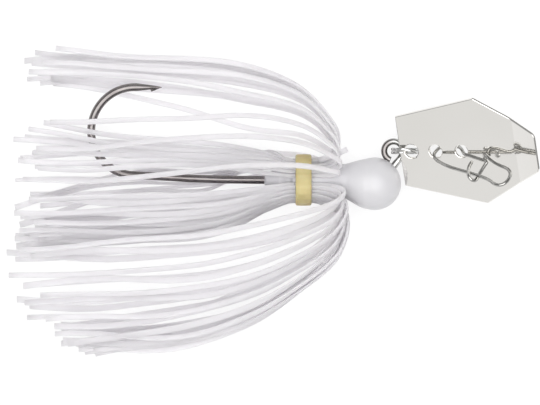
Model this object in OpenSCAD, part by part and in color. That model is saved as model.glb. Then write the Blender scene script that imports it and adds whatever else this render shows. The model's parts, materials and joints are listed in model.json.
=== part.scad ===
// Bladed vibrating jig, lying on its side.
// X runs from the skirt's tips to the blade, Y is across in the hook's plane, Z is up.
// The shapes are drawn from the skirt band's centre, with the hook's plane at height 0, and
// rest() then moves them so that the part stands on Z = 0 with its box centred on X and Y.

/* [Hook] */
// Diameter of the hook's wire along the shank
hook_wire_d = 1.4; // [1.2:0.05:1.45]
// Diameter of the wire round the hook's eye
eye_wire_d = 1.1; // [0.9:0.05:1.15]
// Radius of the hook's bend, to the middle of the wire
bend_r = 7.66; // [7.2:0.02:7.8]
// Length of the straight point after the bend
point_len = 4.4; // [3.6:0.1:4.8]
// Height of the barb above the wire
barb_h = 0.45; // [0.2:0.05:0.6]

/* [Head] */
// Radius of the ball
head_r = 4.6; // [4.4:0.05:4.7]
// Radius of the neck behind the ball
neck_r = 3.4; // [3.1:0.05:3.5]
// Radius of the collar that carries the skirt
collar_r = 2.75; // [2.4:0.05:2.8]
// Radius of the trailer keeper at its thickest
keeper_r = 2.05; // [1.8:0.05:2.2]

/* [Skirt] */
// Width of a silicone strip where it is free
strip_w = 0.85; // [0.6:0.05:0.9]
// Thickness of a strip where it is free
strip_t = 0.4; // [0.25:0.05:0.4]
// Width of the band that grips the strips
band_w = 3; // [2:0.1:3.2]
// Outer radius of the band
band_r = 4.55; // [4.2:0.05:4.6]

/* [Blade] */
// Thickness of the blade's steel
blade_t = 0.6; // [0.5:0.05:0.6]
// Half width of the blade at its widest
blade_half_w = 9.8; // [9:0.1:10]
// Half width of the blade at its rear edge
blade_rear_half_w = 6.5; // [6:0.1:6.6]
// Half width of the blade at its front edge
blade_front_half_w = 3.4; // [3:0.1:4]
// Angle of the lip at the blade's front
lip_angle = 14; // [0:1:16]
// Angle by which the blade's front is raised
blade_pitch = 23.6; // [20:0.2:26]
// Angle by which the blade leans to its lower side
blade_roll = 21.8; // [18:0.2:24]

/* [Split ring and snap] */
// Radius of the split ring to the middle of its wire
ring_r = 2.3; // [2.25:0.05:2.35]
// Width of the ring's flat wire, across its two turns
ring_wire_w = 0.52; // [0.45:0.01:0.54]
// Thickness of the ring's flat wire, in its radius
ring_wire_t = 0.55; // [0.45:0.01:0.55]
// Angle by which the ring stands up from the hook's plane
ring_angle = 72; // [71:0.5:73]
// Diameter of the snap's wire
snap_wire_d = 0.6; // [0.5:0.05:0.6]
// Angle of the snap from square to the blade
snap_angle = 22; // [10:1:30]

/* [Hidden] */
SLOTS = [for (k = [1:26]) if (k != 13 && k != 14) k];

// The part's resting place: the middle of its box in X and Y, and the floor below the hook's plane
rest_x = 5.17;
rest_y = 4.0;
floor_z = 4.6;

// Hook
eye = [15.7, 5.05, 0];
eye_r = 1.65;
stem_turn = -38.5;
eye_start = 250;
stem_dir = [sin(stem_turn), -cos(stem_turn), 0];
stem_top = eye + eye_r * [cos(stem_turn), sin(stem_turn), 0];
stem_foot = stem_top - stem_dir * (stem_top.y / stem_dir.y);
bend_centre = [-29.3, 8.5, 0];

// Head
ball = [12.4, -0.65, 0];
cast_gap = 0.03;

// Skirt: strips leave the band at even steps of angle, two steps left out below the hook's shank
slot_step = 40 / 3;
grip_r = 3.2;
grip_t = 0.48;
strip_gap = 0.12;

// Split ring, swinging about the far side of the hook's eye
ring_pivot = eye + [eye_r, 0, 0];
ring_dir = [cos(ring_angle), 0, sin(ring_angle)];
ring_slack = 0.93;
ring_centre = ring_pivot + ring_dir * (ring_r - ring_slack);
ring_pitch = 0.58;

// Blade, drawn from its rear hole, which hangs a little below the ring's wire
hole_shift = [0.35, 0, -0.42];
blade_hole = ring_pivot + ring_dir * (2 * ring_r - ring_slack) + hole_shift;
rear_edge = -2.25;
widest_at = 12.8;
lip_at = 19;
front_edge = 23.8;
mid_hole_at = 4.5;
front_hole_at = 9.35;
hole_radii = [1.2, 1.1, 1.05];

function unit(v) = v / norm(v);
function mix(a, b, t) = a + (b - a) * t;
function clamp01(t) = min(1, max(0, t));
// An even spread between -1 and 1 for the kth strip
function spread(k, step) = 2 * (k * step - floor(k * step)) - 1;

// A smooth curve through points
function spline_at(p, q, r, s, t) =
  0.5 * (2 * q + (r - p) * t + (2 * p - 5 * q + 4 * r - s) * t * t + (3 * q - p - 3 * r + s) * t * t * t);
function spline(pts, steps) = let(last = len(pts) - 1) [
  for (i = [0:last - 1], j = [0:steps - 1])
    spline_at(
      i == 0 ? 2 * pts[0] - pts[1] : pts[i - 1], pts[i], pts[i + 1],
      i == last - 1 ? 2 * pts[last] - pts[last - 1] : pts[i + 2], j / steps
    ),
  pts[last]
];

function tangent(pts, i) = unit(pts[min(i + 1, len(pts) - 1)] - pts[max(i - 1, 0)]);
function square_to(v, t) = unit(v - (v * t) * t);
// Side directions along a path, each carried on from the last with no twist
function carried(pts, first) = [
  for (i = 0, v = first; i < len(pts); v = square_to(v, tangent(pts, i)), i = i + 1)
    square_to(v, tangent(pts, i))
];

// A closed skin over rings that all have the same number of points
module skin(rings) {
  count = len(rings);
  sides = len(rings[0]);
  polyhedron(
    points = [for (ring = rings) each ring],
    faces = [
      [for (j = [0:sides - 1]) j],
      [for (j = [0:sides - 1]) (count - 1) * sides + sides - 1 - j],
      for (i = [0:count - 2], j = [0:sides - 1])
        let(a = i * sides + j, b = i * sides + (j + 1) % sides)
          each [[a, a + sides, b], [b, a + sides, b + sides]]
    ]
  );
}

// A round wire along a path; radii holds one radius for each point
module wire(pts, radii, sides, first) {
  side = carried(pts, first);
  skin([
    for (i = [0:len(pts) - 1])
      let(t = tangent(pts, i), u = side[i], v = cross(t, u))
        [for (j = [0:sides - 1]) pts[i] + radii[i] * (cos(360 * j / sides) * u + sin(360 * j / sides) * v)]
  ]);
}

module rest() translate([rest_x, rest_y, floor_z]) children();

// ---- head ----
module shank_channel() {
  r = hook_wire_d / 2 + cast_gap;
  translate([-9, 0, 0]) rotate([0, 90, 0]) cylinder(r = r, h = stem_foot.x + 9, $fn = 32);
  translate(stem_foot) sphere(r = r + 0.3, $fn = 32);
  translate(stem_foot) rotate([0, 90, atan2(-stem_dir.y, -stem_dir.x)]) cylinder(r = r, h = 7, $fn = 32);
}

module head() color("whitesmoke") rest() difference() {
  union() {
    translate(ball) sphere(r = head_r, $fn = 96);
    rotate([0, 90, 0]) rotate_extrude($fn = 96) polygon([
      [0, -6.9], [1.1, -6.8], [1.35, -6.4], [keeper_r, -4.2], [keeper_r - 0.1, -3.6], [1.7, -3.1],
      [1.75, -2.2], [collar_r - 0.25, -1.9], [collar_r, -1.6], [collar_r, 4.4], [neck_r - 0.1, 5.6],
      [neck_r, 6.4], [neck_r + 0.1, 9.5], [0, 9.5]
    ]);
  }
  shank_channel();
}

// ---- hook ----
eye_path = [for (a = [eye_start:-12:0]) eye + eye_r * [cos(a), sin(a), 0]];
eye_end = [for (a = [-2:-12:stem_turn]) eye + eye_r * [cos(a), sin(a), 0]];
fillet_r = 1.4;
fillet_turn = acos(-stem_dir.x);
fillet_len = fillet_r * tan(fillet_turn / 2);
fillet_centre = [stem_foot.x - fillet_len, fillet_r, 0];
fillet_path = [for (a = [0:fillet_turn / 4:fillet_turn])
  fillet_centre + fillet_r * [sin(fillet_turn - a), -cos(fillet_turn - a), 0]];
shank_path = [for (x = [10:-6:-8]) [x, 0, 0]];
shank_rise = bend_centre.y - bend_r;
bend_path = [for (a = [268:-7.2:88]) bend_centre + bend_r * [cos(a), sin(a), 0]];
bend_end = bend_path[len(bend_path) - 1];
point_path = [for (s = [0.15:0.05:1]) bend_end + point_len * s * unit([1, -0.01, 0])];
hook_path = concat(
  eye_path, eye_end, [stem_top], fillet_path, shank_path,
  [[-14, 0.1 * shank_rise, 0], [-20, 0.35 * shank_rise, 0], [-25, 0.75 * shank_rise, 0]], bend_path, point_path
);
point_count = len(point_path);
stem_count = len(eye_path) + len(eye_end) + 1;

// The wire's radius at the ith point: thin round the eye, full along the shank, drawn out at the point
function hook_radius(i) = let(n = len(hook_path), s = (i - (n - point_count)) / (point_count - 1))
  i < stem_count ? eye_wire_d / 2 :
  s < 0 ? hook_wire_d / 2 :
  max(0.04, hook_wire_d / 2 * sqrt(1 - s) * (1 - 0.3 * s));
// The barb rises from the point's side and drops off sharply towards the bend
function barb_at(s) = s > 0.56 && s < 0.9 ? barb_h * (0.9 - s) / 0.34 : 0;

module hook() color("dimgray") rest() {
  n = len(hook_path);
  sides = 12;
  up = [0, 0, 1];
  skin([
    for (i = [0:n - 1])
      let(
        t = tangent(hook_path, i), v = cross(up, t), r = hook_radius(i),
        b = barb_at((i - (n - point_count)) / (point_count - 1))
      ) [
        for (j = [0:sides - 1])
          let(a = 360 * j / sides, inner = max(0, -sin(a)))
            hook_path[i] + r * cos(a) * up * (1 - 0.5 * inner * sign(b)) + (r * sin(a) - b * inner ^ 4) * v
      ]
  ]);
}

// ---- skirt ----
module skirt_band() color([0.85, 0.8, 0.57]) rest()
  rotate([0, 90, 0]) rotate_extrude($fn = 96) polygon([
    [band_r - 0.85, -band_w / 2 + 0.1], [band_r - 0.75, -band_w / 2], [band_r - 0.2, -band_w / 2],
    [band_r - 0.05, -band_w / 2 + 0.2], [band_r, -band_w / 2 + 0.6], [band_r, band_w / 2 - 0.6],
    [band_r - 0.05, band_w / 2 - 0.2], [band_r - 0.2, band_w / 2], [band_r - 0.75, band_w / 2],
    [band_r - 0.85, band_w / 2 - 0.1]
  ]);

// A point of the skirt's outline: a flattened round, with its lower side pressed towards the floor
function round_at(x, a, y0, ry, up, down, press) =
  [x, y0 + ry * cos(a), sin(a) >= 0 ? up * sin(a) : -down * abs(sin(a)) ^ press];

// The front half of strip k: forward from the band, out round the neck, and back along the skirt
function front_points(k) =
  let(
    a = 90 + slot_step * k, v = spread(k, 0.618034), w = spread(k, 0.754878), stagger = k % 2 == 0 ? -1 : 1,
    reach = cos(a) < 0 ? 50 - 13 * cos(a) ^ 4 : 46
  ) [
    round_at(1.9, a, 0, grip_r, grip_r, grip_r, 1),
    round_at(4.6 + 0.1 * v, a, -0.1, 3.85, 3.85, 3.75, 1),
    round_at(6.6 + 0.1 * v + 0.2 * stagger, a, -0.4, 6.8, 5.8, 4.25, 1.1),
    round_at(5 + 0.3 * w, a, -1.2, 11.4, 7.6, 4.35, 0.65),
    round_at(-0.5, a, -1.7, 17.8 + 0.5 * w, 8.8 + 0.5 * v, 4.4, 0.6),
    round_at(-10, a, -2.8, 22.4 + 0.8 * w, 9.2 + 0.8 * v, 4.4, 0.5),
    round_at(-23, a, -3.8, 25 + w, 8.6 + v, 4.4, 0.3),
    round_at(-reach + 3 * v, a, -4.2, 26 + 0.8 * v, 7 + 1.4 * w, 4.4, 0.12)
  ];

// Directions of the rear halves: they part above and below the hook's gap
function rear_angle(k, first, last) =
  k <= 12 ? mix(first, 262, (k - 1) / 11) :
  k <= 20 ? mix(272, 321, (k - 15) / 5) :
  mix(last, 425, (k - 21) / 5);

// The rear half of strip k: back from the band in a narrower fan
function rear_points(k) =
  let(
    a = 90 + slot_step * k, v = spread(k, 0.56984), w = spread(k, 0.381966),
    middle = rear_angle(k, 98, 385), tip = rear_angle(k, 90, 378)
  ) [
    round_at(-48 + 3 * v, tip, -2.7, 12.6 + 0.3 * w, 4.8 + 0.4 * w, 3.6, 0.5),
    round_at(-31, middle, -2.2, 11.2, 6.1 + 0.3 * w, 3.6, 0.6),
    round_at(-16, middle, -1.2, 8.2, 5.7 + 0.3 * w, 3.7, 0.8),
    round_at(-7, mix(a, middle, 0.3), -0.3, 5.3, 4.6, 3.8, 1),
    round_at(-3.2, a, 0, grip_r + 0.25, grip_r + 0.2, grip_r + 0.1, 1),
    round_at(-1.9, a, 0, grip_r, grip_r, grip_r, 1),
    round_at(0, a, 0, grip_r, grip_r, grip_r, 1)
  ];

module strand(k) {
  a = 90 + slot_step * k;
  rear = spline(rear_points(k), 3);
  path = spline(concat(rear_points(k), front_points(k)), 3);
  round_side = [0, -sin(a), cos(a)];
  flat_side = [0, -sign(sin(a)), 0];
  color([0.95, 0.95, 0.97]) rest() skin([
    for (i = [0:len(path) - 1])
      let(
        back = i < len(rear) ? clamp01((-path[i].x - 5) / 15) : clamp01((-path[i].x + 1) / 15),
        crowd = 1 - 0.15 * clamp01((-path[i].x - 2) / 3) * (i < len(rear) ? 1 : 0),
        room = 2 * norm([path[i].y, path[i].z]) * sin(slot_step / 2) * crowd - strip_gap,
        t = tangent(path, i), side = square_to(unit(mix(round_side, flat_side, back)), t), face = cross(t, side),
        w = min(strip_w, room) / 2, h = (room < strip_w ? min(grip_t, strip_t * strip_w / room) : strip_t) / 2
      )
        [for (c = [[1, 1], [-1, 1], [-1, -1], [1, -1]]) path[i] + c[0] * w * side + c[1] * h * face]
  ]);
}

// ---- split ring ----
module split_ring() color("silver") rest() {
  turn_step = 10;
  turns = [-330:turn_step:330];
  skin([
    for (a = turns)
      let(
        out = cos(a) * ring_dir + sin(a) * [-ring_dir.z, 0, ring_dir.x],
        shift = ring_pitch / 2 * max(-1, min(1, a / 30)),
        c = ring_centre + ring_r * out + shift * [0, 1, 0],
        w = ring_wire_w / 2, h = ring_wire_t / 2, e = 0.1
      ) [
        for (q = [[h, w - e], [h - e, w], [e - h, w], [-h, w - e], [-h, e - w], [e - h, -w], [h - e, -w], [h, e - w]])
          c + q[0] * out + q[1] * [0, 1, 0]
      ]
  ]);
}

// ---- blade ----
module on_blade() rest() translate(blade_hole) rotate([blade_roll, -blade_pitch, 0]) children();

// A corner of the outline, rounded by an arc from one edge to the next
function rounded(p, q, s, r) = let(
  u = unit(p - q), v = unit(s - q), half = acos(u * v) / 2, c = q + unit(u + v) * r / sin(half),
  from = q + u * r / tan(half) - c, to = q + v * r / tan(half) - c
) [for (t = [0:0.2:1]) c + r * unit(mix(from, to, t))];

blade_corners = [
  [rear_edge, -blade_rear_half_w], [widest_at, -blade_half_w], [front_edge, -blade_front_half_w],
  [front_edge, blade_front_half_w], [widest_at, blade_half_w], [rear_edge, blade_rear_half_w]
];
corner_radii = [0.3, 0.5, 1.2, 1.2, 0.5, 0.3];

module blade() color("gainsboro") on_blade() difference() {
  intersection() {
    translate([0, 0, -5]) linear_extrude(10) polygon([
      for (i = [0:5]) each rounded(blade_corners[(i + 5) % 6], blade_corners[i], blade_corners[(i + 1) % 6], corner_radii[i])
    ]);
    rise = tan(lip_angle) * 8;
    bow = blade_t * tan(lip_angle / 2) / 2;
    rotate([90, 0, 0]) translate([0, 0, -15]) linear_extrude(30) polygon([
      [-5, -blade_t / 2], [lip_at + bow, -blade_t / 2], [lip_at + 8 + bow, rise - blade_t / 2],
      [lip_at + 8 - bow, rise + blade_t / 2], [lip_at - bow, blade_t / 2], [-5, blade_t / 2]
    ]);
  }
  for (hole = [[0, hole_radii[0]], [mid_hole_at, hole_radii[1]], [front_hole_at, hole_radii[2]]])
    translate([hole[0], 0, -2]) cylinder(r = hole[1], h = 4, $fn = 48);
}

// ---- snap ----
// The wire from the tip of its inner catch, through the blade and round the far loop, to the outer catch.
// Each point gives the distance along the blade, across the snap's plane, and out from the blade.
snap_points = [
  [7.9, 0.62, 3.3], [7.75, 0.66, 4.5], [7.9, 0.66, 5.9], [8.3, 0.5, 6.95], [8.75, 0, 7.3], [9.15, -0.5, 6.95],
  [9.3, -0.68, 6], [9.6, -0.5, 4.7], [10.1, -0.15, 3.4], [10.3, 0, 2.95], [10.05, 0, 2.65], [9.4, 0, 2.38],
  [6.8, 0, 1.35], [5.8, 0, 0.98], [5.3, 0, 0.55], [4.9, 0, -0.05], [4.4, 0, -0.65], [3.8, 0, -0.98],
  [2.6, 0, -1.05], [1.2, 0, -1], [0.45, 0, -0.7], [0.1, 0, -0.1], [-0.1, 0, 0.8], [0.25, 0, 1.7],
  [1.3, 0, 2.7], [3.8, 0, 4.1], [7.2, 0, 5.35], [10.2, 0, 6.5], [12.2, 0, 7.5], [13.3, 0, 8.35],
  [14.25, 0, 8.65], [15.1, 0, 8.25], [15.6, 0, 7.1], [15.45, 0, 5.7], [14.6, 0, 4.6], [13.2, 0, 3.85],
  [12, 0.15, 3.25], [11.1, 0.5, 2.75], [10.4, 0.68, 2.2], [9.8, 0.62, 1.6], [9.45, 0.2, 1.3], [9.4, -0.3, 1.35],
  [9.6, -0.62, 1.75]
];

module snap() color("silver") on_blade() rotate([snap_angle, 0, 0]) translate([mid_hole_at, 0, 0]) {
  path = spline(snap_points, 3);
  n = len(path);
  wire(path, [for (i = [0:n - 1]) snap_wire_d / 2 * (i == 0 || i == n - 1 ? 0.6 : 1)], 8, [0, 1, 0]);
}

head();
hook();
skirt_band();
strand(SLOTS[0]);  // strand_01
strand(SLOTS[1]);  // strand_02
strand(SLOTS[2]);  // strand_03
strand(SLOTS[3]);  // strand_04
strand(SLOTS[4]);  // strand_05
strand(SLOTS[5]);  // strand_06
strand(SLOTS[6]);  // strand_07
strand(SLOTS[7]);  // strand_08
strand(SLOTS[8]);  // strand_09
strand(SLOTS[9]);  // strand_10
strand(SLOTS[10]);  // strand_11
strand(SLOTS[11]);  // strand_12
strand(SLOTS[12]);  // strand_13
strand(SLOTS[13]);  // strand_14
strand(SLOTS[14]);  // strand_15
strand(SLOTS[15]);  // strand_16
strand(SLOTS[16]);  // strand_17
strand(SLOTS[17]);  // strand_18
strand(SLOTS[18]);  // strand_19
strand(SLOTS[19]);  // strand_20
strand(SLOTS[20]);  // strand_21
strand(SLOTS[21]);  // strand_22
strand(SLOTS[22]);  // strand_23
strand(SLOTS[23]);  // strand_24
split_ring();
blade();
snap();
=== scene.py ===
# %% [markdown]
# # A bladed fishing jig, piece by piece
# This lesson dresses a small fishing lure: a white cast head on a black hook, a skirt of silicone strips
# held by a rubber band, and a polished steel blade that swings from the hook's eye on a split ring, with
# a wire snap for the line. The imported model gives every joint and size, and each cell below makes one
# piece or one finish.

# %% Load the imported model
import json
import math

import bmesh
import bpy
from mathutils import Matrix, Vector


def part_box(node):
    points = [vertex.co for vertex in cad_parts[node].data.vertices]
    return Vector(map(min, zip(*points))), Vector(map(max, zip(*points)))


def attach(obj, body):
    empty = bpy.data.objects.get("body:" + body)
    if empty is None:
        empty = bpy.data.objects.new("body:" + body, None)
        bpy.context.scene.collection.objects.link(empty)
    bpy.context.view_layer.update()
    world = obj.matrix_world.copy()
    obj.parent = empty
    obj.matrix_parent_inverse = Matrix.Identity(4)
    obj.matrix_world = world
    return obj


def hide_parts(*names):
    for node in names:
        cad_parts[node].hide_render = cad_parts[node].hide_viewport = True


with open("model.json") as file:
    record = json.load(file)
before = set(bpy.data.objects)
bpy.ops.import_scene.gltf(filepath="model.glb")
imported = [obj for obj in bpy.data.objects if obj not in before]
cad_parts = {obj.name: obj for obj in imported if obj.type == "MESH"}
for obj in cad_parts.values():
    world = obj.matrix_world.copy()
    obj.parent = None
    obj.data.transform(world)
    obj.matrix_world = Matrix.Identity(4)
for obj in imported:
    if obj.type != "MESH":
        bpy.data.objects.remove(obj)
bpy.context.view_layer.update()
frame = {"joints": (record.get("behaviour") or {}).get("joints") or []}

joints = {joint["name"]: joint for joint in frame["joints"]}

# %% [markdown]
# ## Where everything hangs
# The skirt's band sits square on the hook's shank, so its middle is the natural place to measure from.
# The blade hangs from its rear hole, and the record gives that hole as the snap's hinge. Working from
# these two places means that nothing has to be fitted by eye.

# %% Reference points
MM = 0.001
band_low, band_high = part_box("skirt_band")
band_centre = (band_low + band_high) / 2
ring_pivot = Vector(joints["ring_swing"]["pos_m"])
ring_centre = Vector(joints["blade_swing"]["pos_m"])
blade_hole = Vector(joints["snap_swing"]["pos_m"])
blade_along = Vector(joints["snap_swing"]["axis"]).normalized()
blade_lean = math.radians(21.8)


def at_band(x, y, z):
    """A point given in millimetres from the band's centre."""
    return band_centre + Vector((x, y, z)) * MM


blade_level = Vector((0, 1, 0))
blade_across = Matrix.Rotation(blade_lean, 3, blade_along) @ blade_level
blade_normal = blade_along.cross(blade_across)
print("band centre", band_centre, "blade normal", blade_normal)

# %% [markdown]
# ## Small tools for making pieces
# Every piece is a mesh made from points and faces. Riding on a body, naming the finish and standing in
# for a plain node are the same three steps each time, so one function does them.

# %% A function that finishes a piece
pieces = []
print("each piece is linked, given a finish and a body, and counted in a list")


def make_piece(name, mesh, material, body, replaced=()):
    """Links a mesh as one piece of the lure, smooth shaded, riding on its body."""
    piece = bpy.data.objects.new(name, mesh)
    bpy.context.scene.collection.objects.link(piece)
    mesh.materials.clear()
    mesh.materials.append(material)
    for polygon in mesh.polygons:
        polygon.use_smooth = True
    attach(piece, body)
    if replaced:
        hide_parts(*replaced)
    pieces.append(piece)
    return piece


# %% Smooth curves and swept wires
def turns_of(count):
    """Angles in even steps round a full turn."""
    return [math.tau * j / count for j in range(count)]


def spline(points, steps):
    """A smooth curve through the points, with this many steps from each point to the next."""
    ends = [points[0] * 2 - points[1]] + list(points) + [points[-1] * 2 - points[-2]]
    curve = []
    for i in range(len(points) - 1):
        p, q, r, s = ends[i:i + 4]
        for j in range(steps):
            t = j / steps
            slope = (r - p) * t
            bend = (p * 2 - q * 5 + r * 4 - s) * t * t
            turn = (q * 3 - p - r * 3 + s) * t ** 3
            curve.append((q * 2 + slope + bend + turn) / 2)
    return curve + [points[-1].copy()]


def tangents(path):
    """The direction of the path at each of its points."""
    last = len(path) - 1
    return [(path[min(i + 1, last)] - path[max(i - 1, 0)]).normalized() for i in range(len(path))]


def carried_sides(path, first):
    """A side direction at each point, carried along the path without twist."""
    sides = []
    side = first
    for direction in tangents(path):
        side = (side - direction * side.dot(direction)).normalized()
        sides.append(side)
    return sides


def mesh_from(name, rows, faces):
    """A mesh over rows of points, with every face turned outward."""
    mesh = bpy.data.meshes.new(name)
    mesh.from_pydata([point for row in rows for point in row], [], faces)
    fix = bmesh.new()
    fix.from_mesh(mesh)
    bmesh.ops.recalc_face_normals(fix, faces=fix.faces)
    fix.to_mesh(mesh)
    fix.free()
    return mesh


def skin(name, rings):
    """A closed mesh over rings that all have the same number of points, with a flat cap at each end."""
    count = len(rings[0])
    faces = [list(range(count))[::-1], [(len(rings) - 1) * count + j for j in range(count)]]
    for i in range(len(rings) - 1):
        for j in range(count):
            a, b = i * count + j, i * count + (j + 1) % count
            faces.append([a, b, b + count, a + count])
    return mesh_from(name, rings, faces)


def round_ring(centre, direction, side, radius, sides):
    """A circle of points square to the direction."""
    other = direction.cross(side)
    return [centre + (side * math.cos(a) + other * math.sin(a)) * radius for a in turns_of(sides)]


trial = spline([Vector((0, 0, 0)), Vector((1, 1, 0)), Vector((2, 0, 0))], 4)
print("a curve through three points, four steps apart, has", len(trial), "points")


# %% [markdown]
# ## Finishes
# Each finish is a small tree of nodes. A noise texture in object coordinates gives the fine unevenness
# that tells the eye what a surface is: plated wire is patchy, paint has a faint orange peel, and
# silicone is cloudy. Values that don't vary go straight on the shader. A noise texture rarely reaches
# its ends, so both tools below stretch its middle over the whole range of the colour or the polish.

# %% Tools for finishes
polish_from, polish_to = 0.3, 0.7
colour_from, colour_to = 0.35, 0.65


def new_finish(name, **sockets):
    """A material with one Principled shader, whose plain values are given by name."""
    material = bpy.data.materials.new(name)
    material.use_nodes = True
    shader = material.node_tree.nodes["Principled BSDF"]
    for socket, value in sockets.items():
        shader.inputs[socket.replace("_", " ")].default_value = value
    return material, material.node_tree, shader


def noise(tree, scale, detail=3.0, stretch=(1, 1, 1)):
    """A noise value over the piece, finer where the scale is larger."""
    place = tree.nodes.new("ShaderNodeTexCoord")
    mapping = tree.nodes.new("ShaderNodeMapping")
    mapping.inputs["Scale"].default_value = stretch
    texture = tree.nodes.new("ShaderNodeTexNoise")
    texture.inputs["Scale"].default_value = scale
    texture.inputs["Detail"].default_value = detail
    tree.links.new(place.outputs["Object"], mapping.inputs["Vector"])
    tree.links.new(mapping.outputs["Vector"], texture.inputs["Vector"])
    return texture.outputs["Fac"]


def between(tree, value, low, high):
    """The value, spread between two numbers."""
    spread_node = tree.nodes.new("ShaderNodeMapRange")
    spread_node.inputs["From Min"].default_value = polish_from
    spread_node.inputs["From Max"].default_value = polish_to
    spread_node.inputs["To Min"].default_value = low
    spread_node.inputs["To Max"].default_value = high
    tree.links.new(value, spread_node.inputs["Value"])
    return spread_node.outputs["Result"]


def colour(tree, shader, value, first, second):
    """The shader's colour runs from the first to the second with the value."""
    ramp = tree.nodes.new("ShaderNodeValToRGB")
    ramp.color_ramp.elements[0].position = colour_from
    ramp.color_ramp.elements[1].position = colour_to
    ramp.color_ramp.elements[0].color = (*first, 1)
    ramp.color_ramp.elements[1].color = (*second, 1)
    tree.links.new(value, ramp.inputs["Fac"])
    tree.links.new(ramp.outputs["Color"], shader.inputs["Base Color"])


def bump(tree, shader, value, height_mm, strength=0.5):
    """Fine relief of a height in millimetres."""
    relief = tree.nodes.new("ShaderNodeBump")
    relief.inputs["Strength"].default_value = strength
    relief.inputs["Distance"].default_value = height_mm * MM
    tree.links.new(value, relief.inputs["Height"])
    tree.links.new(relief.outputs["Normal"], shader.inputs["Normal"])


print("noise in use for colour:", (colour_from, colour_to), "and for polish:", (polish_from, polish_to))

# %% [markdown]
# Skirt silicone is a milky rubber, so light goes into a strip and comes out of it softened, and some of
# it comes right through. Two shaders share the work in equal parts: one scatters light just under the
# surface, and the other lets it through to the far side. Without the second, strips that lie in the
# shade of others turn grey. The clouds and the fine relief are stretched along the lure, so that they
# read as faint streaks along the strips.

# %% Cloudy silicone for the skirt
clear_milk = (0.865, 0.848, 0.862)
thick_milk = (0.915, 0.90, 0.912)
light_through = (0.92, 0.91, 0.93, 1)
share_through = 0.5
silicone, tree, shader = new_finish("cloudy_silicone", Roughness=0.4, Subsurface_Weight=0.85, IOR=1.41)
shader.inputs["Subsurface Radius"].default_value = (1.0, 0.95, 1.0)
shader.inputs["Subsurface Scale"].default_value = 1.5 * MM
clouds = noise(tree, 260, stretch=(0.35, 1, 1))
streaks = noise(tree, 1500, stretch=(0.15, 1, 1))
colour(tree, shader, clouds, clear_milk, thick_milk)
bump(tree, shader, streaks, 0.03, 0.4)
through = tree.nodes.new("ShaderNodeBsdfTranslucent")
through.inputs["Color"].default_value = light_through
cloudy = tree.nodes.new("ShaderNodeMixShader")
cloudy.inputs["Fac"].default_value = share_through
tree.links.new(shader.outputs["BSDF"], cloudy.inputs[1])
tree.links.new(through.outputs["BSDF"], cloudy.inputs[2])
tree.links.new(cloudy.outputs["Shader"], tree.nodes["Material Output"].inputs["Surface"])
print(silicone.name, "lets", share_through, "of the light through")

# %% [markdown]
# The head's paint is white, with a broad soft shine under a thin clear coat. Its colour is set a little
# greyer than the skirt's, or the head would be the brightest thing on the lure. The band is taken to be
# latex: tan, almost matt, and a little grainy.

# %% White gloss paint for the cast head
paint_dull = (0.57, 0.563, 0.585)
paint_bright = (0.62, 0.614, 0.63)
paint, tree, shader = new_finish("white_gloss_paint", Roughness=0.38, Coat_Weight=0.3, Coat_Roughness=0.3)
colour(tree, shader, noise(tree, 130), paint_dull, paint_bright)
bump(tree, shader, noise(tree, 700, 4.0), 0.05, 0.35)
print(paint.name, "from", paint_dull, "to", paint_bright)

# %% Tan latex for the band
latex_deep = (0.50, 0.42, 0.19)
latex_pale = (0.57, 0.49, 0.24)
latex, tree, shader = new_finish("tan_latex", Roughness=0.5, Subsurface_Weight=0.2)
shader.inputs["Subsurface Scale"].default_value = 0.5 * MM
colour(tree, shader, noise(tree, 420), latex_deep, latex_pale)
bump(tree, shader, noise(tree, 2200), 0.03, 0.5)
print(latex.name, "from", latex_deep, "to", latex_pale)

# %% [markdown]
# The metal pieces are taken to be plated steel. The hook's plate is black nickel, a warm near-black
# mirror. The ring, the snap and the blade are bright nickel, and the blade has the highest polish, so its
# colour varies least. The snap is set darker than the blade under it: both mirror the same pale sky,
# and with the same plate the wire would be lost against the blade.

# %% Bright and black plate for the metal pieces
def plated(name, first, second, smooth, rough, grain, height_mm):
    """A plated metal whose colour and polish vary a little over the piece."""
    material, tree, shader = new_finish(name, Metallic=1.0)
    colour(tree, shader, noise(tree, grain), first, second)
    tree.links.new(between(tree, noise(tree, grain * 2.5), smooth, rough), shader.inputs["Roughness"])
    bump(tree, shader, noise(tree, grain * 1.6, 2.0), height_mm, 0.4)
    return material


black_nickel = plated("black_nickel", (0.18, 0.165, 0.162), (0.235, 0.218, 0.214), 0.12, 0.22, 500, 0.02)
ring_nickel = plated("ring_nickel", (0.52, 0.52, 0.51), (0.62, 0.62, 0.61), 0.07, 0.14, 600, 0.01)
bright_wire = plated("bright_wire", (0.36, 0.355, 0.34), (0.44, 0.435, 0.42), 0.12, 0.20, 900, 0.01)
mirror_nickel = plated("mirror_nickel", (0.80, 0.785, 0.755), (0.83, 0.815, 0.79), 0.05, 0.08, 60, 0.01)
print("plated finishes:", [m.name for m in (black_nickel, ring_nickel, bright_wire, mirror_nickel)])
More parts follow.
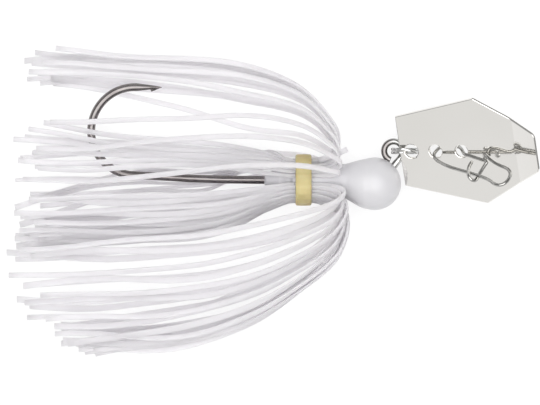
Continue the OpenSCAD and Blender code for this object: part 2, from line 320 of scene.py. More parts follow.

# %% [markdown]
# The hook's eye is coloured brighter than its shank: its colour turns from the black plate's to a pale
# steel grey. The hook is one wire, so the change has to happen along it: the colour turns to the pale grey
# over two millimetres, past the front of the head, by the distance along the lure.

# %% The hook's eye, coloured brighter than the shank
# the hook's colour turns to a pale grey between these two distances in front of the band, so the eye is
# brighter
pale_eye_from, pale_eye_to = 14.5, 16.5
pale_eye_grey = (0.50, 0.50, 0.49, 1)
tree = black_nickel.node_tree
shader = tree.nodes["Principled BSDF"]
place = tree.nodes.new("ShaderNodeTexCoord")
along_lure = tree.nodes.new("ShaderNodeSeparateXYZ")
pale_eye_edge = tree.nodes.new("ShaderNodeMapRange")
pale_eye_edge.inputs["From Min"].default_value = at_band(pale_eye_from, 0, 0).x
pale_eye_edge.inputs["From Max"].default_value = at_band(pale_eye_to, 0, 0).x
pale_eye_mix = tree.nodes.new("ShaderNodeMix")
pale_eye_mix.data_type = "RGBA"
pale_eye_mix.inputs["B"].default_value = pale_eye_grey
plain_plate = shader.inputs["Base Color"].links[0].from_socket
tree.links.new(place.outputs["Object"], along_lure.inputs["Vector"])
tree.links.new(along_lure.outputs["X"], pale_eye_edge.inputs["Value"])
tree.links.new(pale_eye_edge.outputs["Result"], pale_eye_mix.inputs["Factor"])
tree.links.new(plain_plate, pale_eye_mix.inputs["A"])
tree.links.new(pale_eye_mix.outputs["Result"], shader.inputs["Base Color"])
# the hook's colour is pale grey past these distances in front of the band
print("the plate is paler from", pale_eye_from, "to", pale_eye_to, "mm in front of the band")

# %% [markdown]
# ## The camera and the light
# A lure like this is pictured from straight above, on white, with soft light from all round. A long lens
# far away keeps the blade from looking larger than it is. The camera stands over a place a little behind
# the band and to its right, so that the skirt and the blade both fit.

# %% Camera
picture_w = 0.094
camera_far = 1.2
aim_x, aim_y = -5.83, -3.92
camera = bpy.data.objects.new("camera", bpy.data.cameras.new("camera"))
bpy.context.scene.collection.objects.link(camera)
camera.location = at_band(aim_x, aim_y, 0) + Vector((0, 0, camera_far))
camera.data.lens = camera.data.sensor_width * camera_far / picture_w
camera.data.clip_start = 0.01
bpy.context.scene.camera = camera
print("lens", round(camera.data.lens), "mm at", camera_far, "m")

# %% [markdown]
# Small goods are often pictured on a sheet lit from below, because then the ground is white without
# needing much light from above. The floor is such a table: most of its brightness is its own light, and
# its paper is only grey. What stands on it is lit from beneath as well and throws a faint shadow, and
# polished metal stands out against it.

# %% Floor
floor_size = 3.0
paper_dark, paper_pale = (0.20, 0.20, 0.20), (0.22, 0.22, 0.22)
table_light = 0.79
half = floor_size / 2
floor_corners = [(-half, -half, 0), (half, -half, 0), (half, half, 0), (-half, half, 0)]
floor_mesh = bpy.data.meshes.new("floor")
floor_mesh.from_pydata(floor_corners, [], [(0, 1, 2, 3)])
floor = bpy.data.objects.new("floor", floor_mesh)
bpy.context.scene.collection.objects.link(floor)
floor_paper, tree, shader = new_finish("floor_paper", Roughness=0.9)
colour(tree, shader, noise(tree, 30), paper_dark, paper_pale)
shader.inputs["Emission Color"].default_value = (1, 1, 1, 1)
shader.inputs["Emission Strength"].default_value = table_light
floor_mesh.materials.append(floor_paper)
print("floor", floor_size, "m across, giving", table_light, "of its own light")

# %% [markdown]
# Polished metal shows only what is round it, so the sky is made in rings. It is pale at the horizon,
# dark in a broad belt above that, and bright overhead like one wide soft lamp. The dark belt draws
# the dark lines along the round wires, and the bright top gives each wire its streak of light.

# %% Sky
horizon_level = 0.31
belt_level = 0.1
lamp_level = 0.92
sky_rings = [(0.1, horizon_level), (0.16, belt_level), (0.5, belt_level), (0.76, 0.16), (0.87, lamp_level)]
world = bpy.data.worlds.new("studio")
bpy.context.scene.world = world
world.use_nodes = True
sky = world.node_tree
direction = sky.nodes.new("ShaderNodeTexCoord")
height = sky.nodes.new("ShaderNodeSeparateXYZ")
shade = sky.nodes.new("ShaderNodeValToRGB")
low, top = shade.color_ramp.elements
low.position, top.position = 0.0, 1.0
low.color = (horizon_level, horizon_level, horizon_level, 1)
top.color = (1, 1, 1, 1)
for place, level in sky_rings:
    shade.color_ramp.elements.new(place).color = (level, level, level, 1)
sky.links.new(direction.outputs["Generated"], height.inputs["Vector"])
sky.links.new(height.outputs["Z"], shade.inputs["Fac"])
print("sky rings, height and level:", sky_rings)

# %% [markdown]
# The blade leans, so it mirrors the sky low on one side. A wide white card stands there, as a
# photographer would place one: a round bright patch of the sky, faded in by how closely a direction
# points at it. It only ever lightens the sky, so the lamp overhead stays whole where the two meet.

# %% The white card that the blade mirrors
card_direction = Vector((-0.74, -0.62, 0.26)).normalized()
card_colour = (0.278, 0.278, 0.276, 1)
card_from, card_full = 0.80, 0.93
sky_strength = 3.15
toward_card = sky.nodes.new("ShaderNodeVectorMath")
toward_card.operation = "DOT_PRODUCT"
toward_card.inputs[1].default_value = card_direction
card_edge = sky.nodes.new("ShaderNodeMapRange")
card_edge.inputs["From Min"].default_value = card_from
card_edge.inputs["From Max"].default_value = card_full
card_mix = sky.nodes.new("ShaderNodeMix")
card_mix.data_type = "RGBA"
card_mix.blend_type = "LIGHTEN"
card_mix.inputs["B"].default_value = card_colour
sky.links.new(direction.outputs["Generated"], toward_card.inputs[0])
sky.links.new(toward_card.outputs["Value"], card_edge.inputs["Value"])
sky.links.new(card_edge.outputs["Result"], card_mix.inputs["Factor"])
sky.links.new(shade.outputs["Color"], card_mix.inputs["A"])
sky.links.new(card_mix.outputs["Result"], sky.nodes["Background"].inputs["Color"])
sky.nodes["Background"].inputs["Strength"].default_value = sky_strength
bpy.context.scene.view_settings.view_transform = "Standard"
print("card", round(math.degrees(math.acos(card_from))), "degrees from its middle to its edge")

# %% [markdown]
# ## The skirt
# A skirt is a bundle of thin silicone strips gripped at the middle by a band. Behind the band each strip
# trails back. In front of it the strip bends out round the neck, folds over and trails back outside the
# first half. A hair system would give hundreds of identical hairs, so each strip is swept one by one
# instead: a rounded flat section along a smooth curve, with its own slow twist and ripple, and a square
# cut end.

# %% The skirt's driving sizes, in millimetres
strip_w = 0.95
strip_t = 0.4
grip_r = 3.2
grip_t = 0.48
strip_gap = 0.12
ground_gap = 0.01
slot_step = 40 / 3
empty_slots = (13, 14)
slots = [k for k in range(1, 27) if k not in empty_slots]


def mix(a, b, t):
    """The value a part t of the way from a to b."""
    return a + (b - a) * t


def clamp01(t):
    """The value, kept between 0 and 1."""
    return min(1.0, max(0.0, t))


def slot_angle(k):
    """Where the kth slot is round the band, in degrees: 0 is the left side and 90 is the top."""
    return 90 + slot_step * k


def scatter(k, step):
    """An even spread between -1 and 1 for the kth strip."""
    return 2 * (k * step - math.floor(k * step)) - 1


def round_at(x, angle, y0, ry, up, down, press):
    """A point of the skirt's outline at x: a round about y0, so wide, so high and so deep.

    Its lower side is pressed to the ground: the smaller the last number, the flatter.
    """
    rise = math.sin(math.radians(angle))
    z = up * rise if rise >= 0 else -down * abs(rise) ** press
    return Vector((x, y0 + ry * math.cos(math.radians(angle)), z))


print(len(slots), "slots,", round(slot_step, 1), "degrees apart, each", strip_w, "by", strip_t, "mm")

# %% [markdown]
# A strip's route is a row of points, and each point lies on an outline of the whole skirt at that
# distance from the band: so far sideways, so far up, and so far down. The lower side is pressed flat,
# because the skirt lies on the ground. Each point also turns a little with the strip's drift, and the
# inner layers run closer in. Small even spreads keep any two strips from matching.
#
# Free ends cling together in locks. The table of gathered ends moves single tips sideways by some
# millimetres, towards a neighbour or away from it, so that the skirt ends in points with gaps between.

# %% The route of a front half
gathered = {
    1: -1.2, 1.5: 1.2, 2: -0.8, 3: 0.8, 4.5: -0.7, 9: 1.5, 10: -1.5, 11: 0.8,
    16: 6, 17: 2.2, 17.5: 1.2, 23: 2.6, 24: -2.2, 25: -1.5, 26: -1.5
}
left_reach = 46
right_reach = 50
shorter_at_side = 13


def front_route(k, grip, drift=0.0, inside=0.0):
    """The front half: forward from the band, out round the neck, and back along the skirt."""
    a = slot_angle(k)
    sideways = math.cos(math.radians(a))
    left, right = max(0, sideways), max(0, -sideways)
    v, w = scatter(k, 0.618034), scatter(k, 0.754878)
    stagger = -1 if round(k) % 2 == 0 else 1
    reach = right_reach - shorter_at_side * right ** 4 if right > 0 else left_reach
    cling = gathered.get(k, 0)
    step = slot_step * drift / 5
    d = inside
    fold = 6.6 + 0.1 * v + 0.2 * stagger - d + 1.1 * right - 0.7 * left
    back = 5 + 0.3 * w - d + right
    tip_side, tip_up = 26 + 0.8 * v - d, 7 + 1.4 * w - d
    return [
        round_at(1.9, a, 0, grip, grip, grip, 1),
        round_at(4.6 + 0.1 * v, a, -0.1, 3.85 + d, 3.85 + d, 3.75 + d, 1),
        round_at(fold, a, -0.4, 6.8, 5.8, 4.25, 1.1),
        round_at(back, a + step, -1.2, 11.4 + 1.2 * right - d, 7.6 - d, 4.35 - d, 0.65),
        round_at(-0.5, a + 2 * step, -1.7, 17.8 + 0.5 * w - d, 8.8 + 0.5 * v - d, 4.4 - d, 0.6),
        round_at(-10, a + 3 * step, -2.8, 22.4 + 0.8 * w - d, 9.2 + 0.8 * v - d, 4.4 - d, 0.5),
        round_at(-23, a + 4 * step, -3.8 + 0.6 * cling, 25 + w - d, 8.6 + v - d, 4.4 - d, 0.3),
        round_at(-reach + 3 * v, a + 5 * step, -4.2 + cling, tip_side, tip_up, 4.4 - d, 0.12)
    ]


print("a front half starts", front_route(1, grip_r)[0], "and ends", front_route(1, grip_r)[-1])

# %% [markdown]
# The rear halves lie inside the front ones and spread less. On the left they part above and below the
# hook, so that its bend and point stay free, and on the right they make a narrower fan. In the inner
# layers the left strips pass under the shank, where there is still room.

# %% The route of a rear half
def rear_angle(k, first, last):
    """Directions of the rear halves: they part above and below the hook's gap."""
    if k < 13:          # the right side, from the top round to the underside
        return mix(first, 262, (k - 1) / 11)
    if k <= 20:         # the left side, under the hook
        return mix(272, 321, (k - 15) / 5)
    return mix(last, 425, ((k - 21) / 5) ** 0.6)        # the left side, over the hook and up to the top


def rear_route(k, grip, drift=0.0, inside=0.0):
    """The rear half: back from the band in a narrower fan, listed from its tip to the band."""
    a = slot_angle(k)
    v, w = scatter(k, 0.56984), scatter(k, 0.381966)
    middle, tip = rear_angle(k + drift / 2, 98, 385), rear_angle(k + drift, 90, 370)
    if inside and k > 15:
        middle, tip = mix(300, 262, (k - 15) / 8), mix(285, 235, (k - 15) / 8)
    far, near = (9.3, 8.6) if k < 13 else (12.6, 11.2)
    d = inside
    return [
        round_at(-48 + 3 * v, tip, -2.7, far + 0.3 * w - d, 4.8 + 0.4 * w - d, 3.6 - d, 0.5),
        round_at(-31, middle, -2.2, near - d, 6.1 + 0.3 * w - d, 3.6 - d, 0.6),
        round_at(-16, middle, -1.2, 8.2 - d, 5.7 + 0.3 * w - d, 3.7 - d, 0.8),
        round_at(-7, mix(a, middle, 0.3), -0.3, 5.3, 4.6, 3.8, 1),
        round_at(-3.2, a, 0, grip + 0.25, grip + 0.2, grip + 0.1, 1),
        round_at(-1.9, a, 0, grip, grip, grip, 1),
        round_at(0, a, 0, grip, grip, grip, 1)
    ]


print("a rear half ends", rear_route(1, grip_r)[0])

# %% [markdown]
# The strip's section is a flat rectangle with rounded edges. Under the band the strips are packed side by
# side and squeezed thicker and narrower than they were cut. Further out each one takes its full width,
# and ripple and twist grow from nothing towards the cut ends, which are free. No point of a strip may
# sink through the ground.

# %% One strip as a mesh
section = [(1, 0.45), (0.86, 0.86), (0.45, 1), (-0.45, 1), (-0.86, 0.86), (-1, 0.45)]
section += [(-x, -y) for x, y in section]
route_steps = 7
short_ripple, short_wave = 0.45, 6.5
long_ripple, long_wave = 0.5, 11
most_twist, twist_wave = 0.6, 13
rear_crowding = 0.15
# where each change starts, as a distance behind the band, and over what length it grows
rear_free_from, front_free_from, free_over = 5, -1, 15
crowd_from, crowd_over = 2, 3
loose_from, loose_over = 6, 30


def strip_mesh(name, k, grip=grip_r, thick=strip_t, drift=0.0, inside=0.0, wide=strip_w):
    """The kth strip, both halves in one closed mesh."""
    rear = rear_route(k, grip, -drift, inside)
    path = spline(rear + front_route(k, grip, drift, inside), route_steps)
    band_index = (len(rear) - 1) * route_steps
    a = math.radians(slot_angle(k))
    round_side = Vector((0, -math.sin(a), math.cos(a)))
    flat_side = Vector((0, -math.copysign(1, math.sin(a)), 0))
    phase = math.pi * scatter(k, 0.41421)
    rings = []
    for i, (point, along) in enumerate(zip(path, tangents(path))):
        at_rear = i < band_index
        behind = -point.x
        free = clamp01((behind - (rear_free_from if at_rear else front_free_from)) / free_over)
        crowd = 1 - rear_crowding * clamp01((behind - crowd_from) / crowd_over) * at_rear
        loose = clamp01((behind - loose_from) / loose_over)
        side = round_side.lerp(flat_side, free).normalized()
        side = (side - along * side.dot(along)).normalized()
        room = 2 * math.hypot(point.y, point.z) * math.sin(math.radians(slot_step / 2)) * crowd - strip_gap
        ripple = short_ripple * loose * math.sin(point.x / short_wave + 2 * phase + at_rear)
        ripple += long_ripple * loose ** 2 * math.sin(point.x / long_wave + 5 * phase)
        twist = most_twist * loose * math.sin(point.x / twist_wave + 3 * phase)
        side = Matrix.Rotation(twist, 3, along) @ side
        face = along.cross(side)
        width = min(wide, room) / 2
        height = (thick if room >= wide else min(grip_t, thick * wide / room)) / 2
        centre = point + Vector((0, ripple, 0))
        ring = [at_band(*(centre + side * x * width + face * y * height)) for x, y in section]
        for spot in ring:
            spot.z = max(spot.z, ground_gap * MM)
        rings.append(ring)
    return skin(name, rings)


for number, k in enumerate(slots, 1):
    node = f"strand_{number:02d}"
    make_piece(f"{node}_strip", strip_mesh(node, k), silicone, "jig", [node])
print(len(slots), "strips, each of", len(pieces[-1].data.vertices), "points")

# %% [markdown]
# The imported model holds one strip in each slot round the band. The real bundle is deeper than that: a
# second layer lies over the first under the band, between its strips, and then falls inside it. Silicone
# clings to itself, so each of these strips drifts towards a neighbour and lies half over it. That is
# what turns even stripes into broad soft bands with clear gaps between them. A third layer fills the
# right side, where the skirt is thickest. On the left the hook has to show, so the second layer leaves
# most of the slots there bare.

# %% The second and third layers of strips
inner_w = 1.15
second_grip, second_t, second_inside, second_drift = grip_r + 0.36, 0.3, 0.5, 0.5
third_grip, third_t, third_inside, third_drift = grip_r + 0.64, 0.28, 0.9, 0.4
bare_slots = (12, 15, 16, 20, 22, 23, 24, 25, 26)
third_places = (3.3, 4.2, 5.2, 5.8, 6.7, 7.3, 8.2)
inner_strips = []
for k in slots:
    if k not in bare_slots:
        drift = second_drift * scatter(k, 0.7245)
        inner_strips.append((k + 0.5, second_grip, second_t, drift, second_inside))
for k in third_places:
    drift = third_drift * scatter(k, 0.3819)
    inner_strips.append((k, third_grip, third_t, drift, third_inside))
for number, (k, grip, thick, drift, inside) in enumerate(inner_strips, 1):
    mesh = strip_mesh(f"inner_{number:02d}", k, grip, thick, drift, inside, inner_w)
    make_piece(f"inner_strip_{number:02d}", mesh, silicone, "jig")
print(len(inner_strips), "inner strips,", len(pieces), "strips in all layers")

# %% [markdown]
# One short end stands up by the neck between the others. No strip's route ends there, so it is a short
# flat sweep of its own.

# %% One short stray end by the neck
stray_points = [(2.6, 3.4, 1.5), (4.6, 4.1, 2.9), (6.2, 4.7, 3.5), (7.6, 5.3, 3.4)]
stray_half_w, stray_half_t = 0.5, 0.18
stray = spline([Vector(p) for p in stray_points], 5)
rings = []
for point, along in zip(stray, tangents(stray)):
    face = (Vector((0, 0, 1)) - along * along.z).normalized()
    side = face.cross(along)
    spots = [point + side * x * stray_half_w + face * y * stray_half_t for x, y in section]
    rings.append([at_band(*spot) for spot in spots])
make_piece("stray_end", skin("stray_end", rings), silicone, "jig")
print("stray end:", len(stray), "rings")

# %% [markdown]
# ## The band
# The band is a short length of latex tube, stretched over the strips. Stretched rubber bulges between
# its edges and follows the bundle under it, so its section is a soft oblong turned round the shank, with
# a slight waviness where the strips press up.

# %% The band as a turned mesh
band_half = (band_high.x - band_low.x) / 2 / MM
band_r = (band_high.z - band_low.z) / 2 / MM
band_wall = 0.85
band_turns = 144
profile_points = 24
squareness = 0.55
width_share, wall_share = 0.93, 0.9      # how much of the plain band's section the rounded one fills
waviness, waves = 0.03, 24


def turned(name, profile):
    """A ring turned round the shank from a closed row of (x, radius) points, slightly wavy."""
    rows = []
    for a in turns_of(band_turns):
        wobble = waviness * math.sin(waves * a)
        spots = [(x, (r + wobble) * math.cos(a), (r + wobble) * math.sin(a)) for x, r in profile]
        rows.append([at_band(*spot) for spot in spots])
    size = len(profile)
    faces = []
    for j in range(band_turns):
        for i in range(size):
            a, b = j * size + i, j * size + (i + 1) % size
            c, d = ((j + 1) % band_turns) * size + (i + 1) % size, ((j + 1) % band_turns) * size + i
            faces.append([a, b, c, d])
    return mesh_from(name, rows, faces)


band_inner = band_r - band_wall
band_profile = []
for a in turns_of(profile_points):
    along, out = math.cos(a), math.sin(a)
    square = max(abs(along), abs(out)) ** squareness
    x = band_half * along / square * width_share
    radius = (band_r + band_inner) / 2 - waviness + (band_r - band_inner) / 2 * out / square * wall_share
    band_profile.append((x, radius))
band_mesh = turned("skirt_band", band_profile)
make_piece("skirt_band_latex", band_mesh, latex, "jig", ["skirt_band"])
print("band:", round(2 * band_half, 2), "mm wide,", round(2 * band_r, 2), "mm across")

# %% [markdown]
# ## The head
# The head is one lead casting under white paint: a ball, a neck that swells into it like a bulb, a
# collar under the skirt and a cone behind it that keeps a soft trailer from sliding off. The ball hangs
# a little to one side of the shank, and the neck leans over to meet it. Paint rounds every inner corner,
# so the ball and the neck are merged by a voxel remesh and then smoothed, which leaves a soft valley
# where they meet, in place of a hard line.

# %% The head's casting
head_r = 4.6
neck_r = 2.95
collar_r = 2.75
keeper_r = 2.05
ball_centre = (12.4, -0.65, 0)
lean_from, lean_over = 6, 4
casting_sides = 96
casting = [
    (-6.9, 0.01), (-6.8, 1.05), (-6.4, 1.3), (-4.2, keeper_r - 0.02), (-3.6, keeper_r - 0.12),
    (-3.1, 1.7), (-2.2, 1.75), (-1.9, collar_r - 0.25), (-1.6, collar_r - 0.02), (4.4, collar_r),
    (6.2, neck_r - 0.1), (7.4, neck_r + 0.1), (8.4, 3.5), (9.4, 3.95), (10.4, 4.28), (11.4, 4.47),
    (12.4, 4.5), (13.5, 3.9), (14, 0.01)
]


def head_mesh():
    """The turned casting and the ball, still two shapes that overlap."""
    shape = bmesh.new()
    rows = []
    for x, r in casting:
        lean = ball_centre[1] * clamp01((x - lean_from) / lean_over)
        spots = [at_band(x, lean + r * math.cos(a), r * math.sin(a)) for a in turns_of(casting_sides)]
        rows.append([shape.verts.new(spot) for spot in spots])
    for low, high in zip(rows, rows[1:]):
        for j in range(casting_sides):
            after = (j + 1) % casting_sides
            shape.faces.new([low[j], low[after], high[after], high[j]])
    shape.faces.new(rows[0][::-1])
    shape.faces.new(rows[-1])
    place = Matrix.Translation(at_band(*ball_centre))
    bmesh.ops.create_icosphere(shape, subdivisions=5, radius=head_r * MM, matrix=place)
    bmesh.ops.recalc_face_normals(shape, faces=shape.faces)
    mesh = bpy.data.meshes.new("head_casting")
    shape.to_mesh(mesh)
    shape.free()
    return mesh


def apply_modifiers(piece):
    """The piece's own mesh becomes what its modifiers make of it."""
    bpy.context.view_layer.update()
    final = bpy.data.meshes.new_from_object(piece.evaluated_get(bpy.context.evaluated_depsgraph_get()))
    piece.modifiers.clear()
    piece.data = final
    for polygon in final.polygons:
        polygon.use_smooth = True


merge_grain = 0.14
smoothing_passes = 20
head = make_piece("head_casting", head_mesh(), paint, "jig", ["head"])
merge = head.modifiers.new("merge", "REMESH")
merge.mode = "VOXEL"
merge.voxel_size = merge_grain * MM
soften = head.modifiers.new("soften", "SMOOTH")
soften.factor = 0.5
soften.iterations = smoothing_passes
apply_modifiers(head)
print("head:", len(head.data.vertices), "points")

# %% [markdown]
# ## The hook
# The hook is one wire. It is thin round the eye, full along the shank and bend, and drawn out to a needle
# point with a barb raised from its inner side. Sweeping it with more sides and closer rings than the
# plain node has gives a clean line in the polish.

# %% The hook's sizes and path, in millimetres
hook_wire_r = 0.7
eye_wire_r = 0.55
eye_r = 1.65
eye = (ring_pivot - band_centre) / MM - Vector((eye_r, 0, 0))
stem_turn = math.radians(-38.5)
bend_r = 7.66
bend_centre = Vector((-29.3, 8.5, 0))
point_len = 4.4
barb_h = 0.45
fillet_r = 1.4


def arc(centre, radius, first, last, steps):
    """Points along an arc in the hook's plane, from one angle in degrees to another."""
    angles = [math.radians(mix(first, last, i / steps)) for i in range(steps + 1)]
    return [centre + Vector((math.cos(a), math.sin(a), 0)) * radius for a in angles]


stem_dir = Vector((math.sin(stem_turn), -math.cos(stem_turn), 0))
stem_top = eye + Vector((math.cos(stem_turn), math.sin(stem_turn), 0)) * eye_r
stem_foot = stem_top - stem_dir * (stem_top.y / stem_dir.y)
fillet_turn = math.acos(-stem_dir.x)
fillet_centre = Vector((stem_foot.x - fillet_r * math.tan(fillet_turn / 2), fillet_r, 0))
round_eye = arc(eye, eye_r, 250, math.degrees(stem_turn), 60)
into_shank = arc(fillet_centre, fillet_r, math.degrees(fillet_turn) - 90, -90, 8)
shank_rise = bend_centre.y - bend_r
shank = [Vector((x, 0, 0)) for x in range(10, -9, -3)]
shank += [Vector((x, part * shank_rise, 0)) for x, part in ((-14, 0.1), (-20, 0.35), (-25, 0.75))]
round_bend = arc(bend_centre, bend_r, 268, 88, 70)
point_dir = Vector((1, -0.01, 0)).normalized()
point_steps = 40
point = [round_bend[-1] + point_dir * point_len * s / point_steps for s in range(1, point_steps + 1)]
hook_path = round_eye + into_shank + shank + round_bend + point
print("hook:", len(hook_path), "places along the wire, eye at", eye)


# %% The hook as a mesh
hook_sides = 28
needle_r = 0.03
barb_from, barb_to = 0.56, 0.9


def hook_mesh():
    """The hook's wire, with its thin eye, its needle point and the barb cut up from its inner side."""
    first_of_point = len(hook_path) - len(point)
    up = Vector((0, 0, 1))
    rings = []
    for i, (place, along) in enumerate(zip(hook_path, tangents(hook_path))):
        out = up.cross(along)
        s = max(0.0, (i - first_of_point + 1) / point_steps)
        radius = eye_wire_r if i < len(round_eye) else hook_wire_r
        radius = max(needle_r, radius * math.sqrt(1 - s) * (1 - 0.3 * s))
        barb = barb_h * (barb_to - s) / (barb_to - barb_from) if barb_from < s < barb_to else 0
        barb *= clamp01((s - barb_from) / 0.02)
        ring = []
        for a in turns_of(hook_sides):
            inner = max(0.0, -math.sin(a))
            thin = 1 - 0.5 * inner * (barb > 0)
            rise = radius * math.cos(a) * thin
            reach = radius * math.sin(a) - barb * inner ** 4
            ring.append(at_band(*(place + up * rise + out * reach)))
        rings.append(ring)
    return skin("hook_wire", rings)


make_piece("hook_wire", hook_mesh(), black_nickel, "jig", ["hook"])
print("the hook's wire is", 2 * hook_wire_r, "mm thick, and", 2 * eye_wire_r, "mm round the eye")

# %% [markdown]
# ## The split ring
# A split ring is two turns of flattened wire, one beside the other, with a step where the wire crosses
# over. The rounded corners of the flat wire catch a thin line of light on each turn.

# %% The split ring as a mesh
ring_r = 2.3
ring_wire_w = 0.52
ring_wire_t = 0.55
ring_corner = 0.16
ring_pitch = 0.58
ring_steps = 176
ring_half_turn = 330
crossing_half = 30
ring_dir = (ring_centre - ring_pivot).normalized()


def ring_mesh():
    """Nearly two turns of flattened wire that steps sideways at the crossing, tapered at both ends."""
    across = Vector((0, 1, 0))
    quarter = Vector((-ring_dir.z, 0, ring_dir.x))
    rings = []
    for i in range(ring_steps + 1):
        a = mix(-ring_half_turn, ring_half_turn, i / ring_steps)
        out = ring_dir * math.cos(math.radians(a)) + quarter * math.sin(math.radians(a))
        shift = ring_pitch / 2 * max(-1, min(1, a / crossing_half))
        centre = ring_centre + (out * ring_r + across * shift) * MM
        taper = 0.6 + 0.4 * clamp01(min(i, ring_steps - i) / 4)
        ring = []
        for sx, sy in ((1, 1), (-1, 1), (-1, -1), (1, -1)):
            for step in range(4):
                turn = math.atan2(sy, sx) + math.radians(mix(-45, 45, step / 3))
                h = (sx * (ring_wire_t / 2 - ring_corner) + ring_corner * math.cos(turn)) * taper
                w = (sy * (ring_wire_w / 2 - ring_corner) + ring_corner * math.sin(turn)) * taper
                ring.append(centre + (out * h + across * w) * MM)
        rings.append(ring)
    return skin("split_ring", rings)


make_piece("split_ring_wire", ring_mesh(), ring_nickel, "split_ring", ["split_ring"])
print("split ring:", round(2 * ring_half_turn / 360, 2), "turns of flattened wire")

# %% [markdown]
# ## The blade
# The blade is stamped from sheet steel: a long hexagon with a lip bent up at the front and three holes.
# A stamped and tumbled edge is never knife sharp. It rolls over from the flat to the side, and that roll
# matters more than it looks: it is the thin line that tells the eye where the metal ends.

# %% The blade's sizes, in millimetres
blade_t = 0.6
rear_edge, widest_at, lip_at, front_edge = -2.25, 12.8, 19, 23.8
rear_half_w, widest_half_w, front_half_w = 6.5, 9.8, 3.4
lip_angle = math.radians(14)
holes = [(0, 1.2), (4.5, 1.1), (9.35, 1.05)]
hole_sides = 48
corner_radii = [0.3, 0.5, 1.2, 1.2, 0.5, 0.3]
corners = [
    (rear_edge, -rear_half_w), (widest_at, -widest_half_w), (front_edge, -front_half_w),
    (front_edge, front_half_w), (widest_at, widest_half_w), (rear_edge, rear_half_w)
]


def rounded_corner(before, corner, after, radius, steps=6):
    """Points round a corner of the outline, on an arc that touches both of its edges."""
    u, v = (before - corner).normalized(), (after - corner).normalized()
    half_angle = u.angle(v) / 2
    centre = corner + (u + v).normalized() * radius / math.sin(half_angle)
    start = corner + u * radius / math.tan(half_angle) - centre
    end = corner + v * radius / math.tan(half_angle) - centre
    return [centre + start.lerp(end, i / steps).normalized() * radius for i in range(steps + 1)]


print("blade", front_edge - rear_edge, "by", 2 * widest_half_w, "mm, with", len(holes), "holes")

# %% [markdown]
# A bevel tool narrows its whole bevel to what the shortest edge allows, and the short edges round the
# corners allow very little. So the roll is built in instead. Every outline, the holes' too, is stepped
# into the plate by narrow sloping facets, each with its width and its slope, above and below.

# %% The tumbled edge of the plate
edge_facets = [(0.09, 25), (0.13, 58)]      # widths in millimetres and slopes, from the flat out
facet_inset = sum(width for width, lean in edge_facets)
facet_height = blade_t / 2
top_edge = [(facet_inset, facet_height)]
for width, lean in edge_facets:
    facet_inset -= width
    facet_height -= width * math.tan(math.radians(lean))
    top_edge.append((max(0, facet_inset), facet_height))
edge_profile = top_edge + [(inset, -height) for inset, height in top_edge[::-1]]
print("edge facets, inset and height:", [(round(i, 2), round(h, 2)) for i, h in top_edge])


def into_plate(loop, is_hole):
    """For each point of a loop, the step that moves its edges one millimetre into the plate."""
    normals = []
    for here, after in zip(loop, loop[1:] + loop[:1]):
        way = (after - here).normalized()
        normals.append(Vector((way.y, -way.x)) if is_hole else Vector((-way.y, way.x)))
    return [(n1 + n2) / (1 + n1.dot(n2)) for n1, n2 in zip(normals[-1:] + normals[:-1], normals)]


# %% [markdown]
# The flats are filled between the innermost steps. The filled flats have no edge across them where the
# lip folds, so the plate is first cut across at five closely spaced lines, and then everything past the
# fold is raised by its distance from it.

# %% The blade as a mesh
fold_half = 0.5
fold_cuts = [lip_at - fold_half, lip_at - fold_half / 2, lip_at, lip_at + fold_half / 2, lip_at + fold_half]


def blade_loops():
    """The outline with its rounded corners, and the three holes."""
    flat = [Vector(c) for c in corners]
    outline = []
    for i, radius in enumerate(corner_radii):
        outline += rounded_corner(flat[i - 1], flat[i], flat[(i + 1) % len(flat)], radius)
    loops = [outline]
    for x, r in holes:
        loops.append([Vector((x + r * math.cos(a), r * math.sin(a))) for a in turns_of(hole_sides)])
    return loops


def blade_mesh():
    """The bent plate in its own directions, in millimetres, with its middle height at 0."""
    shape = bmesh.new()
    top_rims, low_rims = [], []
    for number, loop in enumerate(blade_loops()):
        steps = into_plate(loop, number > 0)
        rows = []
        for inset, z in edge_profile:
            spots = [p + step * inset for p, step in zip(loop, steps)]
            rows.append([shape.verts.new((p.x, p.y, z)) for p in spots])
        count = len(loop)
        for upper, lower in zip(rows, rows[1:]):
            for i in range(count):
                shape.faces.new([upper[i], upper[(i + 1) % count], lower[(i + 1) % count], lower[i]])
        top_rims += [shape.edges.get((rows[0][i], rows[0][(i + 1) % count])) for i in range(count)]
        low_rims += [shape.edges.get((rows[-1][i], rows[-1][(i + 1) % count])) for i in range(count)]
    for rims in (top_rims, low_rims):
        bmesh.ops.triangle_fill(shape, use_beauty=True, use_dissolve=False, edges=rims)
    for x in fold_cuts:
        everything = shape.verts[:] + shape.edges[:] + shape.faces[:]
        bmesh.ops.bisect_plane(shape, geom=everything, plane_co=(x, 0, 0), plane_no=(1, 0, 0))
    bmesh.ops.recalc_face_normals(shape, faces=shape.faces)
    for vert in shape.verts:
        vert.co.z += bent_height(vert.co.x)
    open_edges = sum(not e.is_manifold for e in shape.edges)
    print("open edges:", open_edges, "volume:", round(shape.calc_volume(), 1), "cubic mm")
    mesh = bpy.data.meshes.new("blade_plate")
    shape.to_mesh(mesh)
    shape.free()
    return mesh


def bent_height(x):
    """How far the lip has risen at a distance along the blade, with a soft fold."""
    past = x - (lip_at - fold_half)
    if past <= 0:
        return 0
    if past < 2 * fold_half:
        return math.tan(lip_angle) * past * past / (4 * fold_half)
    return math.tan(lip_angle) * (past - fold_half)


blade = make_piece("blade_plate", blade_mesh(), mirror_nickel, "blade", ["blade"])
turn = Matrix((blade_along, blade_across, blade_normal)).transposed().to_4x4()
blade.data.transform(Matrix.Translation(blade_hole) @ turn @ Matrix.Scale(MM, 4))
for polygon in blade.data.polygons:
    polygon.use_smooth = False
print("blade:", len(blade.data.vertices), "points")

# %% [markdown]
# ## The snap
# The snap is bent from one length of spring wire. It runs from a small catch, round the far loop, through
# two of the blade's holes and back to the second catch. Its route is a list of points in the blade's own
# directions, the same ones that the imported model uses, joined by a smooth curve.

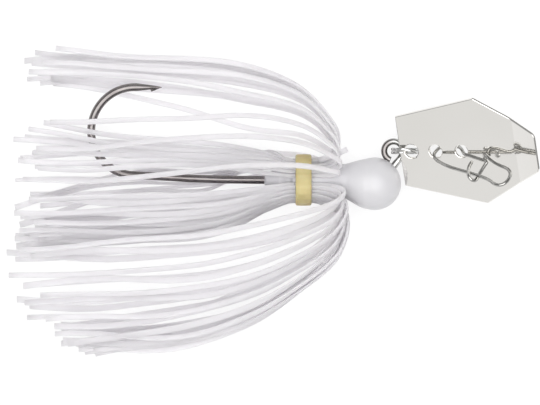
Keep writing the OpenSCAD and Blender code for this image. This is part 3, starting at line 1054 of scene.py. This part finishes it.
# %% The snap's route, in millimetres
snap_wire_r = 0.3
snap_sides = 16
snap_lean = math.radians(22)
snap_points = [
    (7.9, 0.62, 3.3), (7.75, 0.66, 4.5), (7.9, 0.66, 5.9), (8.3, 0.5, 6.95), (8.75, 0, 7.3),
    (9.15, -0.5, 6.95), (9.3, -0.68, 6), (9.6, -0.5, 4.7), (10.1, -0.15, 3.4), (10.3, 0, 2.95),
    (10.05, 0, 2.65), (9.4, 0, 2.38), (6.8, 0, 1.35), (5.8, 0, 0.98), (5.3, 0, 0.55), (4.9, 0, -0.05),
    (4.4, 0, -0.65), (3.8, 0, -0.98), (2.6, 0, -1.05), (1.2, 0, -1), (0.45, 0, -0.7), (0.1, 0, -0.1),
    (-0.1, 0, 0.8), (0.25, 0, 1.7), (1.3, 0, 2.7), (3.8, 0, 4.1), (7.2, 0, 5.35), (10.2, 0, 6.5),
    (12.2, 0, 7.5), (13.3, 0, 8.35), (14.25, 0, 8.65), (15.1, 0, 8.25), (15.6, 0, 7.1), (15.45, 0, 5.7),
    (14.6, 0, 4.6), (13.2, 0, 3.85), (12, 0.15, 3.25), (11.1, 0.5, 2.75), (10.4, 0.68, 2.2),
    (9.8, 0.62, 1.6), (9.45, 0.2, 1.3), (9.4, -0.3, 1.35), (9.6, -0.62, 1.75)
]
snap_across = Matrix.Rotation(snap_lean, 3, blade_along) @ blade_across
snap_out = blade_along.cross(snap_across)


def snap_mesh():
    """The snap's wire along its route, with blunt ends."""
    start = blade_hole + blade_along * holes[1][0] * MM
    places = [start + (blade_along * x + snap_across * y + snap_out * z) * MM for x, y, z in snap_points]
    path = spline(places, 8)
    directions, sides = tangents(path), carried_sides(path, snap_across)
    last = len(path) - 1
    rings = []
    for i, place in enumerate(path):
        blunt = 0.6 + 0.4 * clamp01(min(i, last - i) / 3)
        rings.append(round_ring(place, directions[i], sides[i], snap_wire_r * MM * blunt, snap_sides))
    return skin("snap_wire", rings)


make_piece("snap_wire", snap_mesh(), bright_wire, "snap", ["snap"])
print(len(pieces), "pieces")
